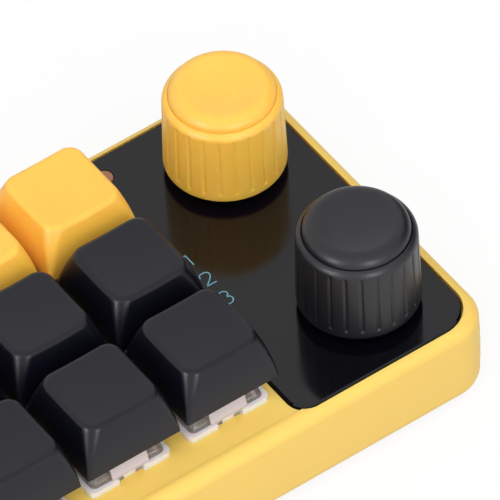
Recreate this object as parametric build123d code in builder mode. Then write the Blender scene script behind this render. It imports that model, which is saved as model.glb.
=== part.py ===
"""Programmable keyboard: a small desk pad with a grid of keys and two push knobs.

Units are millimetres. +X runs towards the knobs, +Y to the back edge and +Z up.
The origin lies on the desk, under the middle of the case.
"""
import os
from math import atan, cos, degrees, radians, sin, sqrt, tan

from build123d import *

os.makedirs("parts", exist_ok=True)

# Key grid
key_rows = 3
key_columns = 4
key_travel = 4.0

# Case shell
case_margin = 15.2  # case face to the nearest key centres, at the left, front and back
control_width = 46.85  # last key column to the right case face
case_height = 16.2
case_corner = 7.0
case_wall = 3.0
side_crown = 0.25  # swell of the outer wall at half height
top_round = 2.2
bottom_round = 2.6
rim_width = 2.7  # front, back and left rim around the sunk deck
rim_right = 2.25
panel_rim = 1.8  # front and back rim beside the panel
deck_corner = 6.3
deck_sink = 0.4
deck_thickness = 1.5

# Fascia panel and the shelf that carries it
panel_offset = 9.6  # last key column to the panel's left edge
panel_thickness = 2.0
panel_proud = 0.1
panel_gap = 0.3
panel_corner = 3.2  # the two corners beside the keys
panel_bevel = 0.25
shelf_thickness = 1.5

# Bottom cover, screws and feet
cover_thickness = 2.0
cover_gap = 0.15
post_radius = 2.4
post_inset = 6.1  # case faces to the screw axes
screw_radius = 1.15
screw_length = 7.0
screw_head_radius = 2.0
screw_head_height = 1.2
screw_head_sink = 0.2
screw_hole_gap = 0.2
screw_pilot_gap = 0.05
screw_cross_length = 2.6
screw_cross_width = 0.6
screw_cross_depth = 0.6
foot_radius = 5.0
foot_proud = 1.0
foot_sink = 0.6
foot_inset = 14.0  # case faces to the foot centres
foot_gap = 0.1
foot_edge = 0.35

# Circuit board and what is soldered to it
board_thickness = 1.6
board_gap = 0.8
board_post_gap = 0.4
pin_radius = 0.45
pin_gap = 0.1
pin_length = 3.3  # below the board's top face
chip_size = 7.0
chip_height = 1.0
chip_offset = 9.0  # panel's left edge to the chip's centre
diode_length = 1.7
diode_width = 1.0
diode_height = 0.8
diode_offset = 7.4  # key centre to its diode, along each axis
lamp_size = 1.6
lamp_height = 0.8
lamp_well_radius = 1.4
legend_offset = 14.3  # last key column to the numerals and lamps
legend_pitch = 5.05
legend_shift = -0.1  # numerals' middle, behind the middle of the case

# Key switch, measured from the deck's top face
switch_depth = 5.0
switch_cutout = 14.0
switch_gap = 0.05
flange_size = 15.4
flange_height = 1.1
flange_notch_width = 4.8
flange_notch_depth = 1.2
flange_tab_width = 2.2
flange_tab_depth = 0.5
clip_recess = 1.6  # below the deck, behind the notch
housing_height = 6.4
housing_foot = 14.0
housing_top = 11.0
housing_wall = 1.0
housing_corner = 1.0
cavity_size = 11.2
cavity_floor = 1.5
switch_post_radius = 2.0
switch_post_length = 3.3
pole_radius = 0.95
pole_gap = 0.1
pole_tube_wall = 0.55
pole_tube_top = -0.2
pole_end = -1.0
leaf_thickness = 0.3
leaf_width = 2.2
pin_one_x = -3.81
pin_one_y = 2.54
pin_two_x = 2.54
pin_two_y = 5.08

# Stem and return spring
slider_length = 7.0
slider_width = 5.8
slider_gap = 0.1
slider_bottom = 1.0
slider_bore = 2.3
slider_bore_top = 5.0
stop_length = 8.4
stop_width = 3.0
stop_height = 1.6
cross_length = 4.0
cross_width = 1.2
cross_top = 10.0
spring_wire = 0.45
spring_gap = 0.1

# Keycap
cap_base = 17.8
cap_gap = 1.25  # between neighbouring caps
cap_base_corner = 0.4
cap_waist_inset = 0.55  # lower edge to the waist
cap_waist_height = 4.2
cap_waist_corner = 1.5
cap_top_inset = 1.9  # lower edge to the edge of the top
cap_top_corner = 2.7
cap_height = 8.9  # to the corners of the dished top
cap_lift = 6.3  # deck to the cap's lower edge
cap_edge = 1.0
cap_dish = 0.5
cap_wall = 1.4
cap_roof = 1.9
socket_radius = 2.75
socket_lift = 0.6  # cap's lower edge to the socket's end
socket_gap = 0.05

# Knobs
knob_inset = 15.75  # right case face to the knob axes
knob_spacing = 36.9
knob_gap = 1.9
knob_base_radius = 10.15
knob_shoulder_radius = 9.85
knob_shoulder_height = 13.5
knob_crease_radius = 8.75
knob_crease_height = 15.0
knob_crease_depth = 0.2
knob_height = 16.9
knob_crown_radius = 2.0  # rounding of the raised disc
knob_dish_angle = 14.0
knob_crown_angle = 8.0  # where the raised disc's rounding starts
knob_wall = 1.8
knob_roof = 2.8
knob_foot_edge = 0.35
groove_count = 24
groove_radius = 0.36
groove_depth = 0.21
groove_lift = 1.3
groove_top = 13.9
hub_radius = 4.4
hub_gap = 0.4  # bushing's end to the hub of a pushed knob

# Push encoders
encoder_size = 11.2
encoder_base_height = 5.0
encoder_floor = 1.2
encoder_cavity_radius = 4.6
encoder_plate = 1.5
bushing_radius = 3.5
bushing_length = 5.0
shaft_radius = 3.0
shaft_flat = 1.5  # axis to the flat
shaft_gap = 0.05
shaft_end_gap = 0.3
spindle_radius = 2.0
spindle_flat = 1.4
rotor_gap = 0.2
rotor_thickness = 1.8
collar_radius = 3.8
collar_gap = 0.1
collar_clear = 0.2  # rotor to the collar of a pushed shaft
push_travel = 0.5
push_spring_left = 0.3  # height of a pushed spring
push_pocket_gap = 0.2  # around the spindle's end
push_spring_radius = 1.5
push_spring_bore = 0.7
encoder_pin_pitch = 2.5
encoder_pin_offset = 4.5

# Layer button
layer_offset = 13.7  # last key column to the button
layer_inset = 4.2  # panel's back edge to the button's centre
layer_radius = 1.5
layer_gap = 0.15
layer_proud = 0.05
layer_travel = 0.25
layer_clear = 0.05
layer_stem_radius = 1.0
layer_stem_length = 1.1
layer_body_size = 4.5
layer_body_height = 1.6
layer_body_floor = 0.3

# USB-C socket, under the board in the middle of the back wall
usb_width = 8.94
usb_height = 3.2
usb_length = 7.35
usb_corner = 1.3
usb_wall = 0.3
usb_sink = 0.3  # case face to the socket's mouth
usb_gap = 0.3
usb_block = 1.6
usb_tongue_width = 6.6
usb_tongue_height = 0.7
usb_tongue_length = 4.6
usb_fit = 0.02

# Places that follow from the sizes above
key_pitch = cap_base + cap_gap
cap_waist = cap_base - 2 * cap_waist_inset
cap_top = cap_base - 2 * cap_top_inset
case_length = (key_columns - 1) * key_pitch + case_margin + control_width
case_depth = (key_rows - 1) * key_pitch + 2 * case_margin
case_right = case_length / 2
case_back = case_depth / 2
case_bottom = foot_proud
rim_top = case_bottom + case_height
deck_top = rim_top - deck_sink
deck_bottom = deck_top - deck_thickness
panel_top = rim_top + panel_proud
shelf_top = panel_top - panel_thickness
shelf_bottom = shelf_top - shelf_thickness
board_top = deck_top - switch_depth
board_bottom = board_top - board_thickness
pin_bottom = board_top - pin_length
cover_top = case_bottom + cover_thickness
inner_corner = case_corner - case_wall
inner_right = case_right - case_wall
inner_back = case_back - case_wall

first_column = case_margin - case_right
last_column = first_column + (key_columns - 1) * key_pitch
grid_middle = (first_column + last_column) / 2
back_row = (key_rows - 1) * key_pitch / 2
keys = [
    (f"r{row + 1}c{column + 1}", first_column + column * key_pitch, back_row - row * key_pitch)
    for row in range(key_rows)
    for column in range(key_columns)
]

deck_left = rim_width - case_right
deck_right = case_right - rim_right
deck_back = case_back - rim_width
panel_left = last_column + panel_offset
panel_right = deck_right - panel_gap
panel_back = case_back - panel_rim - panel_gap

corners = [(x, y) for x in (-1, 1) for y in (-1, 1)]
post_places = [(x * (case_right - post_inset), y * (case_back - post_inset)) for x, y in corners]
foot_places = [(x * (case_right - foot_inset), y * (case_back - foot_inset)) for x, y in corners]
screw_seat = case_bottom + screw_head_sink + screw_head_height

knob_x = case_right - knob_inset
knobs = {
    "back": (knob_x, knob_spacing / 2),
    "front": (knob_x, -knob_spacing / 2),
}
encoder_places = list(knobs.values())
knob_bottom = panel_top + knob_gap
encoder_hole = encoder_size / sqrt(2) + panel_gap
base_floor = board_top + encoder_floor
plate_bottom = board_top + encoder_base_height
plate_top = plate_bottom + encoder_plate
bushing_top = plate_top + bushing_length
rotor_bottom = base_floor + rotor_gap
rotor_top = rotor_bottom + rotor_thickness
collar_top = plate_bottom - collar_gap
collar_bottom = rotor_top + push_travel + collar_clear
spindle_end = base_floor + shaft_gap
push_floor = spindle_end - push_travel - push_spring_left
push_pocket_radius = spindle_radius + push_pocket_gap
hub_bottom = bushing_top + push_travel + hub_gap
knob_roof_bottom = knob_bottom + knob_height - knob_roof
shaft_top = knob_roof_bottom - shaft_end_gap

lamp_x = last_column + legend_offset
lamp_places = [(lamp_x, legend_shift + step * legend_pitch) for step in (1, 0, -1)]
layer_place = (last_column + layer_offset, panel_back - layer_inset)
layer_body_top = board_top + layer_body_height
layer_shoulder = layer_body_top + layer_travel + layer_clear

usb_middle = board_bottom - usb_height / 2
usb_mouth = case_back - usb_sink
usb_back = usb_mouth - usb_length

switch_body = switch_cutout - 2 * switch_gap
cavity_bottom = board_top + cavity_floor
flange_top = deck_top + flange_height
housing_roof = deck_top + housing_height
pole_bore = pole_radius + pole_gap
pole_tube = pole_bore + pole_tube_wall
spring_inner = pole_tube + spring_gap
spring_outer = spring_inner + spring_wire
spring_top = deck_top + slider_bore_top
slider_top = housing_roof
stop_top = housing_roof - housing_wall - slider_gap
cap_bottom = deck_top + cap_lift


def save(piece, name):
    """Label a finished piece and write it to its own file."""
    piece.part.label = name
    export_step(piece.part, f"parts/{name}.step")


def case_outline(inset):
    """Rounded rectangle that follows the case's outer face at a given inset."""
    RectangleRounded(case_length - 2 * inset, case_depth - 2 * inset, case_corner - inset)


def deck_outline():
    """Edge of the sunk deck inside the rim."""
    with Locations(((deck_left + deck_right) / 2, 0)):
        RectangleRounded(deck_right - deck_left, 2 * deck_back, deck_corner)


def panel_outline(grow):
    """Panel's edge, grown by a gap for the pocket that holds it."""
    width = panel_right - panel_left + 2 * grow
    depth = 2 * (panel_back + grow)
    with BuildSketch(mode=Mode.PRIVATE) as outline:
        with Locations(((panel_left + panel_right) / 2, 0)):
            Rectangle(width, depth)
        sides = outline.vertices().group_by(Axis.X)
        fillet(sides[0], panel_corner + grow)
        sides = outline.vertices().group_by(Axis.X)
        fillet(sides[-1], deck_corner - panel_gap + grow)
    add(outline.sketch)


def flat_circle(radius, flat):
    """Round section with one flat, as on a knob shaft."""
    with BuildSketch(mode=Mode.PRIVATE) as section:
        Circle(radius)
        with Locations((0, flat)):
            Rectangle(2 * radius, 2 * radius, align=(Align.CENTER, Align.MIN), mode=Mode.SUBTRACT)
    add(section.sketch)


# Top case: the swept outer wall, the deck and the panel's shelf in one moulding
with BuildPart() as top_case:
    with BuildLine(Plane.XY.offset(case_bottom)) as wall_path:
        side = Line((0, -inner_back), (inner_right - inner_corner, -inner_back))
        side_ends = [
            (inner_right, inner_back - inner_corner),
            (inner_corner - inner_right, inner_back),
            (-inner_right, inner_corner - inner_back),
            (0, -inner_back),
        ]
        for side_end in side_ends:
            bend = JernArc(start=side @ 1, tangent=side % 1, radius=inner_corner, arc_size=90)
            side = Line(bend @ 1, side_end)
    wall_plane = Plane(origin=(0, -inner_back, case_bottom), x_dir=(0, -1, 0), z_dir=(-1, 0, 0))
    with BuildSketch(wall_plane) as wall_section:
        with BuildLine():
            foot = (case_wall - side_crown, 0)
            brow = (case_wall - side_crown, case_height)
            Line((0, 0), foot)
            ThreePointArc(foot, (case_wall, case_height / 2), brow)
            Line(brow, (0, case_height))
            Line((0, case_height), (0, 0))
        make_face()
        fillet(wall_section.vertices().group_by(Axis.X)[-1].sort_by(Axis.Y)[0], bottom_round)
        fillet(wall_section.vertices().group_by(Axis.Y)[-1].sort_by(Axis.X)[-1], top_round)
    sweep()
    with BuildSketch(Plane.XY.offset(deck_bottom)):
        case_outline(case_wall)
    extrude(amount=rim_top - deck_bottom)
    with BuildSketch(Plane.XY.offset(shelf_bottom)) as shelf:
        case_outline(case_wall)
        with Locations((panel_left - panel_gap - deck_thickness, 0)):
            Rectangle(case_length, case_depth, align=(Align.MAX, Align.CENTER), mode=Mode.SUBTRACT)
    extrude(amount=deck_bottom - shelf_bottom)
    for x, y in post_places:
        post_top = deck_bottom if x < 0 else shelf_bottom
        with BuildSketch(Plane.XY.offset(cover_top)):
            with Locations((x, y)):
                Circle(post_radius)
        extrude(amount=post_top - cover_top)
    with BuildSketch(Plane.XY.offset(deck_top)):
        deck_outline()
    extrude(amount=deck_sink, mode=Mode.SUBTRACT)
    with BuildSketch(Plane.XY.offset(shelf_top)):
        panel_outline(panel_gap)
    extrude(amount=rim_top - shelf_top, mode=Mode.SUBTRACT)
    with BuildSketch(Plane.XY.offset(deck_bottom)):
        with Locations((grid_middle, 0)):
            with GridLocations(key_pitch, key_pitch, key_columns, key_rows):
                Rectangle(switch_cutout, switch_cutout)
    extrude(amount=deck_thickness, mode=Mode.SUBTRACT)
    with BuildSketch(Plane.XY.offset(shelf_bottom)):
        with Locations(*encoder_places):
            Circle(encoder_hole)
        with Locations(*lamp_places):
            Circle(lamp_well_radius)
        with Locations(layer_place):
            Circle(layer_radius + 2 * layer_gap)
    extrude(amount=shelf_thickness, mode=Mode.SUBTRACT)
    with BuildSketch(Plane.XY.offset(cover_top)):
        with Locations(*post_places):
            Circle(screw_radius + screw_pilot_gap)
    extrude(amount=screw_length, mode=Mode.SUBTRACT)
    with BuildSketch(Plane.XZ.offset(case_wall / 2 - case_back)):
        with Locations((0, usb_middle)):
            RectangleRounded(usb_width + 2 * usb_gap, usb_height + 2 * usb_gap, usb_corner + usb_gap)
    extrude(amount=case_wall, both=True, mode=Mode.SUBTRACT)
save(top_case, "top_case")

# Fascia panel
with BuildPart() as fascia_panel:
    with BuildSketch(Plane.XY.offset(shelf_top)):
        panel_outline(0)
        with Locations(*encoder_places):
            Circle(encoder_hole, mode=Mode.SUBTRACT)
        with Locations(layer_place):
            Circle(layer_radius + layer_gap, mode=Mode.SUBTRACT)
    extrude(amount=panel_thickness)
    chamfer(fascia_panel.faces().sort_by(Axis.Z)[-1].outer_wire().edges(), panel_bevel)
save(fascia_panel, "fascia_panel")

# Bottom cover
with BuildPart() as bottom_cover:
    with BuildSketch(Plane.XY.offset(case_bottom)):
        case_outline(case_wall + cover_gap)
    extrude(amount=cover_thickness)
    with BuildSketch(Plane.XY.offset(case_bottom)):
        with Locations(*post_places):
            Circle(screw_head_radius + screw_hole_gap)
    extrude(amount=screw_seat - case_bottom, mode=Mode.SUBTRACT)
    with BuildSketch(Plane.XY.offset(case_bottom)):
        with Locations(*post_places):
            Circle(screw_radius + screw_hole_gap)
    extrude(amount=cover_thickness, mode=Mode.SUBTRACT)
    with BuildSketch(Plane.XY.offset(case_bottom)):
        with Locations(*foot_places):
            Circle(foot_radius + foot_gap)
    extrude(amount=foot_sink, mode=Mode.SUBTRACT)
save(bottom_cover, "bottom_cover")

# Screws, driven up into the posts
with BuildPart() as case_screws:
    with BuildSketch(Plane.XY.offset(screw_seat - screw_head_height)):
        with Locations(*post_places):
            Circle(screw_head_radius)
    extrude(amount=screw_head_height)
    with BuildSketch(Plane.XY.offset(screw_seat)):
        with Locations(*post_places):
            Circle(screw_radius)
    extrude(amount=screw_length)
    with BuildSketch(Plane.XY.offset(screw_seat - screw_head_height)):
        with Locations(*post_places):
            Rectangle(screw_cross_length, screw_cross_width)
            Rectangle(screw_cross_width, screw_cross_length)
    extrude(amount=screw_cross_depth, mode=Mode.SUBTRACT)
save(case_screws, "case_screws")

# Rubber feet
with BuildPart() as rubber_feet:
    with BuildSketch():
        with Locations(*foot_places):
            Circle(foot_radius)
    extrude(amount=foot_proud + foot_sink)
    fillet(rubber_feet.edges().group_by(Axis.Z)[0], foot_edge)
save(rubber_feet, "rubber_feet")

# Circuit board
with BuildPart() as circuit_board:
    with BuildSketch(Plane.XY.offset(board_bottom)):
        case_outline(case_wall + board_gap)
        with Locations(*post_places):
            Circle(post_radius + board_post_gap, mode=Mode.SUBTRACT)
        with Locations((grid_middle, 0)):
            with GridLocations(key_pitch, key_pitch, key_columns, key_rows):
                Circle(switch_post_radius + pin_gap, mode=Mode.SUBTRACT)
                with Locations((pin_one_x, pin_one_y), (pin_two_x, pin_two_y)):
                    Circle(pin_radius + pin_gap, mode=Mode.SUBTRACT)
        with Locations(*encoder_places):
            with GridLocations(encoder_pin_pitch, 2 * encoder_pin_offset, 3, 2):
                Circle(pin_radius + pin_gap, mode=Mode.SUBTRACT)
    extrude(amount=board_thickness)
save(circuit_board, "circuit_board")

# Controller chip, key diodes and the layer button's switch body
with BuildPart() as board_components:
    with BuildSketch(Plane.XY.offset(board_bottom - chip_height)):
        with Locations((panel_left + chip_offset, 0)):
            Rectangle(chip_size, chip_size)
    extrude(amount=chip_height)
    with BuildSketch(Plane.XY.offset(board_bottom - diode_height)):
        with Locations((grid_middle + diode_offset, -diode_offset)):
            with GridLocations(key_pitch, key_pitch, key_columns, key_rows):
                Rectangle(diode_width, diode_length)
    extrude(amount=diode_height)
    with BuildSketch(Plane.XY.offset(board_top)):
        with Locations(layer_place):
            Rectangle(layer_body_size, layer_body_size)
    extrude(amount=layer_body_height)
    with BuildSketch(Plane.XY.offset(board_top + layer_body_floor)):
        with Locations(layer_place):
            Circle(layer_stem_radius + pole_gap)
    extrude(amount=layer_body_height - layer_body_floor, mode=Mode.SUBTRACT)
save(board_components, "board_components")

# Lamps under the layer numerals
with BuildPart() as layer_lamps:
    with BuildSketch(Plane.XY.offset(board_top)):
        with Locations(*lamp_places):
            Rectangle(lamp_size, lamp_size)
    extrude(amount=lamp_height)
save(layer_lamps, "layer_lamps")

# Layer button: a round head in the panel on a thin stem
with BuildPart() as layer_button:
    with BuildSketch(Plane.XY.offset(layer_shoulder)):
        with Locations(layer_place):
            Circle(layer_radius)
    extrude(amount=panel_top + layer_proud - layer_shoulder)
    fillet(layer_button.edges().group_by(Axis.Z)[-1], layer_gap)
    with BuildSketch(Plane.XY.offset(layer_shoulder - layer_stem_length)):
        with Locations(layer_place):
            Circle(layer_stem_radius)
    extrude(amount=layer_stem_length)
save(layer_button, "layer_button")

# USB-C socket: steel shell and the plastic block with its tongue
usb_plane = Plane.XZ.offset(-usb_mouth)
with BuildPart() as usb_shell:
    with BuildSketch(usb_plane):
        with Locations((0, usb_middle)):
            RectangleRounded(usb_width, usb_height, usb_corner)
            RectangleRounded(
                usb_width - 2 * usb_wall,
                usb_height - 2 * usb_wall,
                usb_corner - usb_wall,
                mode=Mode.SUBTRACT,
            )
    extrude(amount=usb_length)
save(usb_shell, "usb_shell")

with BuildPart() as usb_tongue:
    with BuildSketch(Plane.XZ.offset(-usb_back)):
        with Locations((0, usb_middle)):
            inner_wall = usb_wall + usb_fit
            RectangleRounded(
                usb_width - 2 * inner_wall,
                usb_height - 2 * inner_wall,
                usb_corner - inner_wall,
            )
    extrude(amount=-usb_block)
    with BuildSketch(Plane.XZ.offset(-usb_back - usb_block)):
        with Locations((0, usb_middle)):
            Rectangle(usb_tongue_width, usb_tongue_height)
    extrude(amount=-usb_tongue_length)
save(usb_tongue, "usb_tongue")

# Lower switch housing: box under the deck, flange on it, post through the board
with BuildPart() as switch_base:
    with BuildSketch(Plane.XY.offset(board_top)):
        Rectangle(switch_body, switch_body)
    extrude(amount=switch_depth)
    with BuildSketch(Plane.XY.offset(deck_top)):
        RectangleRounded(flange_size, flange_size, housing_corner)
        for side in (-1, 1):
            edge = side * flange_size / 2
            with Locations((0, edge)):
                Rectangle(flange_notch_width, 2 * flange_notch_depth, mode=Mode.SUBTRACT)
            with Locations((0, edge - side * flange_notch_depth)):
                Rectangle(flange_tab_width, 2 * flange_tab_depth)
    extrude(amount=flange_height)
    with BuildSketch(Plane.XY.offset(deck_top - clip_recess)):
        for side in (-1, 1):
            with Locations((0, side * flange_size / 2)):
                Rectangle(flange_notch_width, 2 * flange_notch_depth)
    extrude(amount=clip_recess, mode=Mode.SUBTRACT)
    with BuildSketch(Plane.XY.offset(board_top - switch_post_length)):
        Circle(switch_post_radius)
    extrude(amount=switch_post_length)
    with BuildSketch(Plane.XY.offset(cavity_bottom)):
        Rectangle(cavity_size, cavity_size)
    extrude(amount=flange_top - cavity_bottom, mode=Mode.SUBTRACT)
    with BuildSketch(Plane.XY.offset(cavity_bottom)):
        Circle(pole_tube)
    extrude(amount=deck_top + pole_tube_top - cavity_bottom)
    pole_well = deck_top + pole_end - key_travel - pole_gap
    with BuildSketch(Plane.XY.offset(pole_well)):
        Circle(pole_bore)
    extrude(amount=deck_top - pole_well, mode=Mode.SUBTRACT)
    with BuildSketch(Plane.XY.offset(board_top)):
        with Locations((pin_one_x, pin_one_y), (pin_two_x, pin_two_y)):
            Circle(pin_radius + pin_gap)
    extrude(amount=cavity_floor, mode=Mode.SUBTRACT)

with BuildPart() as switch_bases:
    with Locations(*[(x, y) for _, x, y in keys]):
        add(switch_base.part)
save(switch_bases, "switch_bases")

# Upper switch housing: hollow, drawn in towards its roof, with the stem's opening
with BuildPart() as switch_top:
    with BuildSketch(Plane.XY.offset(flange_top)):
        RectangleRounded(housing_foot, housing_foot, housing_corner)
    with BuildSketch(Plane.XY.offset(housing_roof)):
        RectangleRounded(housing_top, housing_top, housing_corner)
    loft(ruled=True)
    with BuildSketch(Plane.XY.offset(flange_top)):
        Rectangle(housing_foot - 2 * housing_wall, housing_foot - 2 * housing_wall)
    with BuildSketch(Plane.XY.offset(housing_roof - housing_wall)):
        Rectangle(housing_top - 2 * housing_wall, housing_top - 2 * housing_wall)
    loft(ruled=True, mode=Mode.SUBTRACT)
    with BuildSketch(Plane.XY.offset(housing_roof - housing_wall)):
        Rectangle(slider_length + 2 * slider_gap, slider_width + 2 * slider_gap)
    extrude(amount=housing_wall, mode=Mode.SUBTRACT)

with BuildPart() as switch_tops:
    with Locations(*[(x, y) for _, x, y in keys]):
        add(switch_top.part)
save(switch_tops, "switch_tops")

# Contacts: two sprung leaves for each switch and the encoders' pins
leaf_top = deck_top + flange_height - leaf_thickness
leaf_wall = cavity_size / 2 - leaf_thickness
with BuildPart() as switch_contact:
    with BuildSketch(Plane.XY.offset(pin_bottom)):
        with Locations((pin_one_x, pin_one_y), (pin_two_x, pin_two_y)):
            Circle(pin_radius)
    extrude(amount=cavity_bottom - pin_bottom)
    with BuildSketch(Plane.XY.offset(cavity_bottom)):
        with Locations((pin_one_x + pin_radius, pin_one_y)):
            Rectangle(pin_one_x + pin_radius + leaf_wall, 2 * pin_radius, align=(Align.MAX, Align.CENTER))
        with Locations((pin_two_x, pin_two_y - pin_radius)):
            Rectangle(2 * pin_radius, leaf_wall + pin_radius - pin_two_y, align=(Align.CENTER, Align.MIN))
    extrude(amount=leaf_thickness)
    with BuildSketch(Plane.XY.offset(cavity_bottom)):
        with Locations((-leaf_wall, pin_one_y)):
            Rectangle(leaf_thickness, leaf_width, align=(Align.MAX, Align.CENTER))
        with Locations((pin_two_x, leaf_wall)):
            Rectangle(leaf_width, leaf_thickness, align=(Align.CENTER, Align.MIN))
    extrude(amount=leaf_top - cavity_bottom)

with BuildPart() as contact_pins:
    with Locations(*[(x, y) for _, x, y in keys]):
        add(switch_contact.part)
    with BuildSketch(Plane.XY.offset(pin_bottom)):
        with Locations(*encoder_places):
            with GridLocations(encoder_pin_pitch, 2 * encoder_pin_offset, 3, 2):
                Circle(pin_radius)
    extrude(amount=pin_length)
save(contact_pins, "contact_pins")

# Stem: a hollow slider with side stops, a pole below and the cap's cross on top
with BuildPart() as stem_model:
    with BuildSketch(Plane.XY.offset(deck_top + slider_bottom)):
        Rectangle(slider_length, slider_width)
    extrude(amount=slider_top - deck_top - slider_bottom)
    with BuildSketch(Plane.XY.offset(stop_top - stop_height)):
        Rectangle(stop_length, stop_width)
    extrude(amount=stop_height)
    with BuildSketch(Plane.XY.offset(deck_top + slider_bottom)):
        Circle(slider_bore)
    extrude(amount=slider_bore_top - slider_bottom, mode=Mode.SUBTRACT)
    with BuildSketch(Plane.XY.offset(deck_top + pole_end)):
        Circle(pole_radius)
    extrude(amount=slider_bore_top - pole_end)
    with BuildSketch(Plane.XY.offset(slider_top)):
        Rectangle(cross_length, cross_width)
        Rectangle(cross_width, cross_length)
    extrude(amount=deck_top + cross_top - slider_top)

# Return spring, closed inside the switch and drawn as a sleeve
with BuildPart() as spring_model:
    with BuildSketch(Plane.XY.offset(cavity_bottom)):
        Circle(spring_outer)
        Circle(spring_inner, mode=Mode.SUBTRACT)
    extrude(amount=spring_top - cavity_bottom)

# Keycap: flared sides, soft edges and a dished top, hollow around its cross socket
dish_reach = (cap_top / 2 - cap_top_corner) * sqrt(2) + cap_top_corner
dish_radius = (dish_reach**2 + cap_dish**2) / (2 * cap_dish)
cap_peak = cap_bottom + cap_height
cap_ceiling = cap_peak - cap_roof
with BuildPart() as cap_model:
    with BuildSketch(Plane.XY.offset(cap_bottom)):
        RectangleRounded(cap_base, cap_base, cap_base_corner)
    with BuildSketch(Plane.XY.offset(cap_bottom + cap_waist_height)):
        RectangleRounded(cap_waist, cap_waist, cap_waist_corner)
    with BuildSketch(Plane.XY.offset(cap_peak)):
        RectangleRounded(cap_top, cap_top, cap_top_corner)
    loft()
    with Locations((0, 0, cap_peak - cap_dish + dish_radius)):
        Sphere(dish_radius, mode=Mode.SUBTRACT)
    fillet(cap_model.faces().filter_by(GeomType.SPHERE).edges(), cap_edge)
    with BuildSketch(Plane.XY.offset(cap_bottom)):
        Rectangle(cap_base - 2 * cap_wall, cap_base - 2 * cap_wall)
    with BuildSketch(Plane.XY.offset(cap_bottom + cap_waist_height)):
        Rectangle(cap_waist - 2 * cap_wall, cap_waist - 2 * cap_wall)
    loft(ruled=True, mode=Mode.SUBTRACT)
    with BuildSketch(Plane.XY.offset(cap_bottom + cap_waist_height)):
        Rectangle(cap_waist - 2 * cap_wall, cap_waist - 2 * cap_wall)
    with BuildSketch(Plane.XY.offset(cap_ceiling)):
        Rectangle(cap_top - 2 * cap_wall, cap_top - 2 * cap_wall)
    loft(ruled=True, mode=Mode.SUBTRACT)
    with BuildSketch(Plane.XY.offset(cap_bottom + socket_lift)):
        Circle(socket_radius)
    extrude(amount=cap_ceiling - cap_bottom - socket_lift)
    with BuildSketch(Plane.XY.offset(cap_bottom + socket_lift)):
        Rectangle(cross_length + 2 * socket_gap, cross_width + 2 * socket_gap)
        Rectangle(cross_width + 2 * socket_gap, cross_length + 2 * socket_gap)
    extrude(amount=deck_top + cross_top + socket_gap - cap_bottom - socket_lift, mode=Mode.SUBTRACT)

for name, x, y in keys:
    with BuildPart() as keycap:
        with Locations((x, y)):
            add(cap_model.part)
    save(keycap, f"keycap_{name}")
    with BuildPart() as stem:
        with Locations((x, y)):
            add(stem_model.part)
    save(stem, f"stem_{name}")
    with BuildPart() as spring:
        with Locations((x, y)):
            add(spring_model.part)
    save(spring, f"spring_{name}")

# Encoder bases: moulded boxes with the rotor's well and the push spring's pocket
with BuildPart() as encoder_bases:
    with BuildSketch(Plane.XY.offset(board_top)):
        with Locations(*encoder_places):
            Rectangle(encoder_size, encoder_size)
    extrude(amount=encoder_base_height)
    with BuildSketch(Plane.XY.offset(base_floor)):
        with Locations(*encoder_places):
            Circle(encoder_cavity_radius)
    extrude(amount=plate_bottom - base_floor, mode=Mode.SUBTRACT)
    with BuildSketch(Plane.XY.offset(push_floor)):
        with Locations(*encoder_places):
            Circle(push_pocket_radius)
    extrude(amount=base_floor - push_floor, mode=Mode.SUBTRACT)
save(encoder_bases, "encoder_bases")

# Encoder covers with their bushings
with BuildPart() as encoder_bushings:
    with BuildSketch(Plane.XY.offset(plate_bottom)):
        with Locations(*encoder_places):
            Rectangle(encoder_size, encoder_size)
    extrude(amount=encoder_plate)
    with BuildSketch(Plane.XY.offset(plate_top)):
        with Locations(*encoder_places):
            Circle(bushing_radius)
    extrude(amount=bushing_length)
    with BuildSketch(Plane.XY.offset(plate_bottom)):
        with Locations(*encoder_places):
            Circle(shaft_radius + shaft_gap)
    extrude(amount=bushing_top - plate_bottom, mode=Mode.SUBTRACT)
save(encoder_bushings, "encoder_bushings")

# Rotor disc, turned by the spindle that slides through it
with BuildPart() as rotor_model:
    with BuildSketch(Plane.XY.offset(rotor_bottom)):
        Circle(encoder_cavity_radius - rotor_gap)
        with BuildSketch(mode=Mode.PRIVATE) as spindle_hole:
            flat_circle(spindle_radius + shaft_gap, spindle_flat + shaft_gap)
        add(spindle_hole.sketch, mode=Mode.SUBTRACT)
    extrude(amount=rotor_thickness)

# Shaft: flatted top for the knob, collar under the cover, flatted spindle below
with BuildPart() as shaft_model:
    with BuildSketch(Plane.XY.offset(spindle_end)):
        flat_circle(spindle_radius, spindle_flat)
    extrude(amount=collar_bottom - spindle_end)
    with BuildSketch(Plane.XY.offset(collar_bottom)):
        Circle(collar_radius)
    extrude(amount=collar_top - collar_bottom)
    with BuildSketch(Plane.XY.offset(collar_top)):
        Circle(shaft_radius)
    extrude(amount=hub_bottom - collar_top)
    with BuildSketch(Plane.XY.offset(hub_bottom)):
        flat_circle(shaft_radius, shaft_flat)
    extrude(amount=shaft_top - hub_bottom)

# Push spring under the spindle, closed inside the base
with BuildPart() as push_spring_model:
    with BuildSketch(Plane.XY.offset(push_floor)):
        Circle(push_spring_radius)
        Circle(push_spring_bore, mode=Mode.SUBTRACT)
    extrude(amount=spindle_end - push_floor)

# Groove cutter: a rod with round ends, upright on the knob's lower edge
with BuildPart() as groove_cutter:
    with BuildSketch(Plane.XZ) as groove_half:
        with Locations((0, (groove_lift + groove_top) / 2)):
            SlotOverall(groove_top - groove_lift, 2 * groove_radius, rotation=90)
        Rectangle(2 * groove_radius, 2 * groove_top, align=(Align.MAX, Align.CENTER), mode=Mode.SUBTRACT)
    revolve(axis=Axis.Z)

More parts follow.
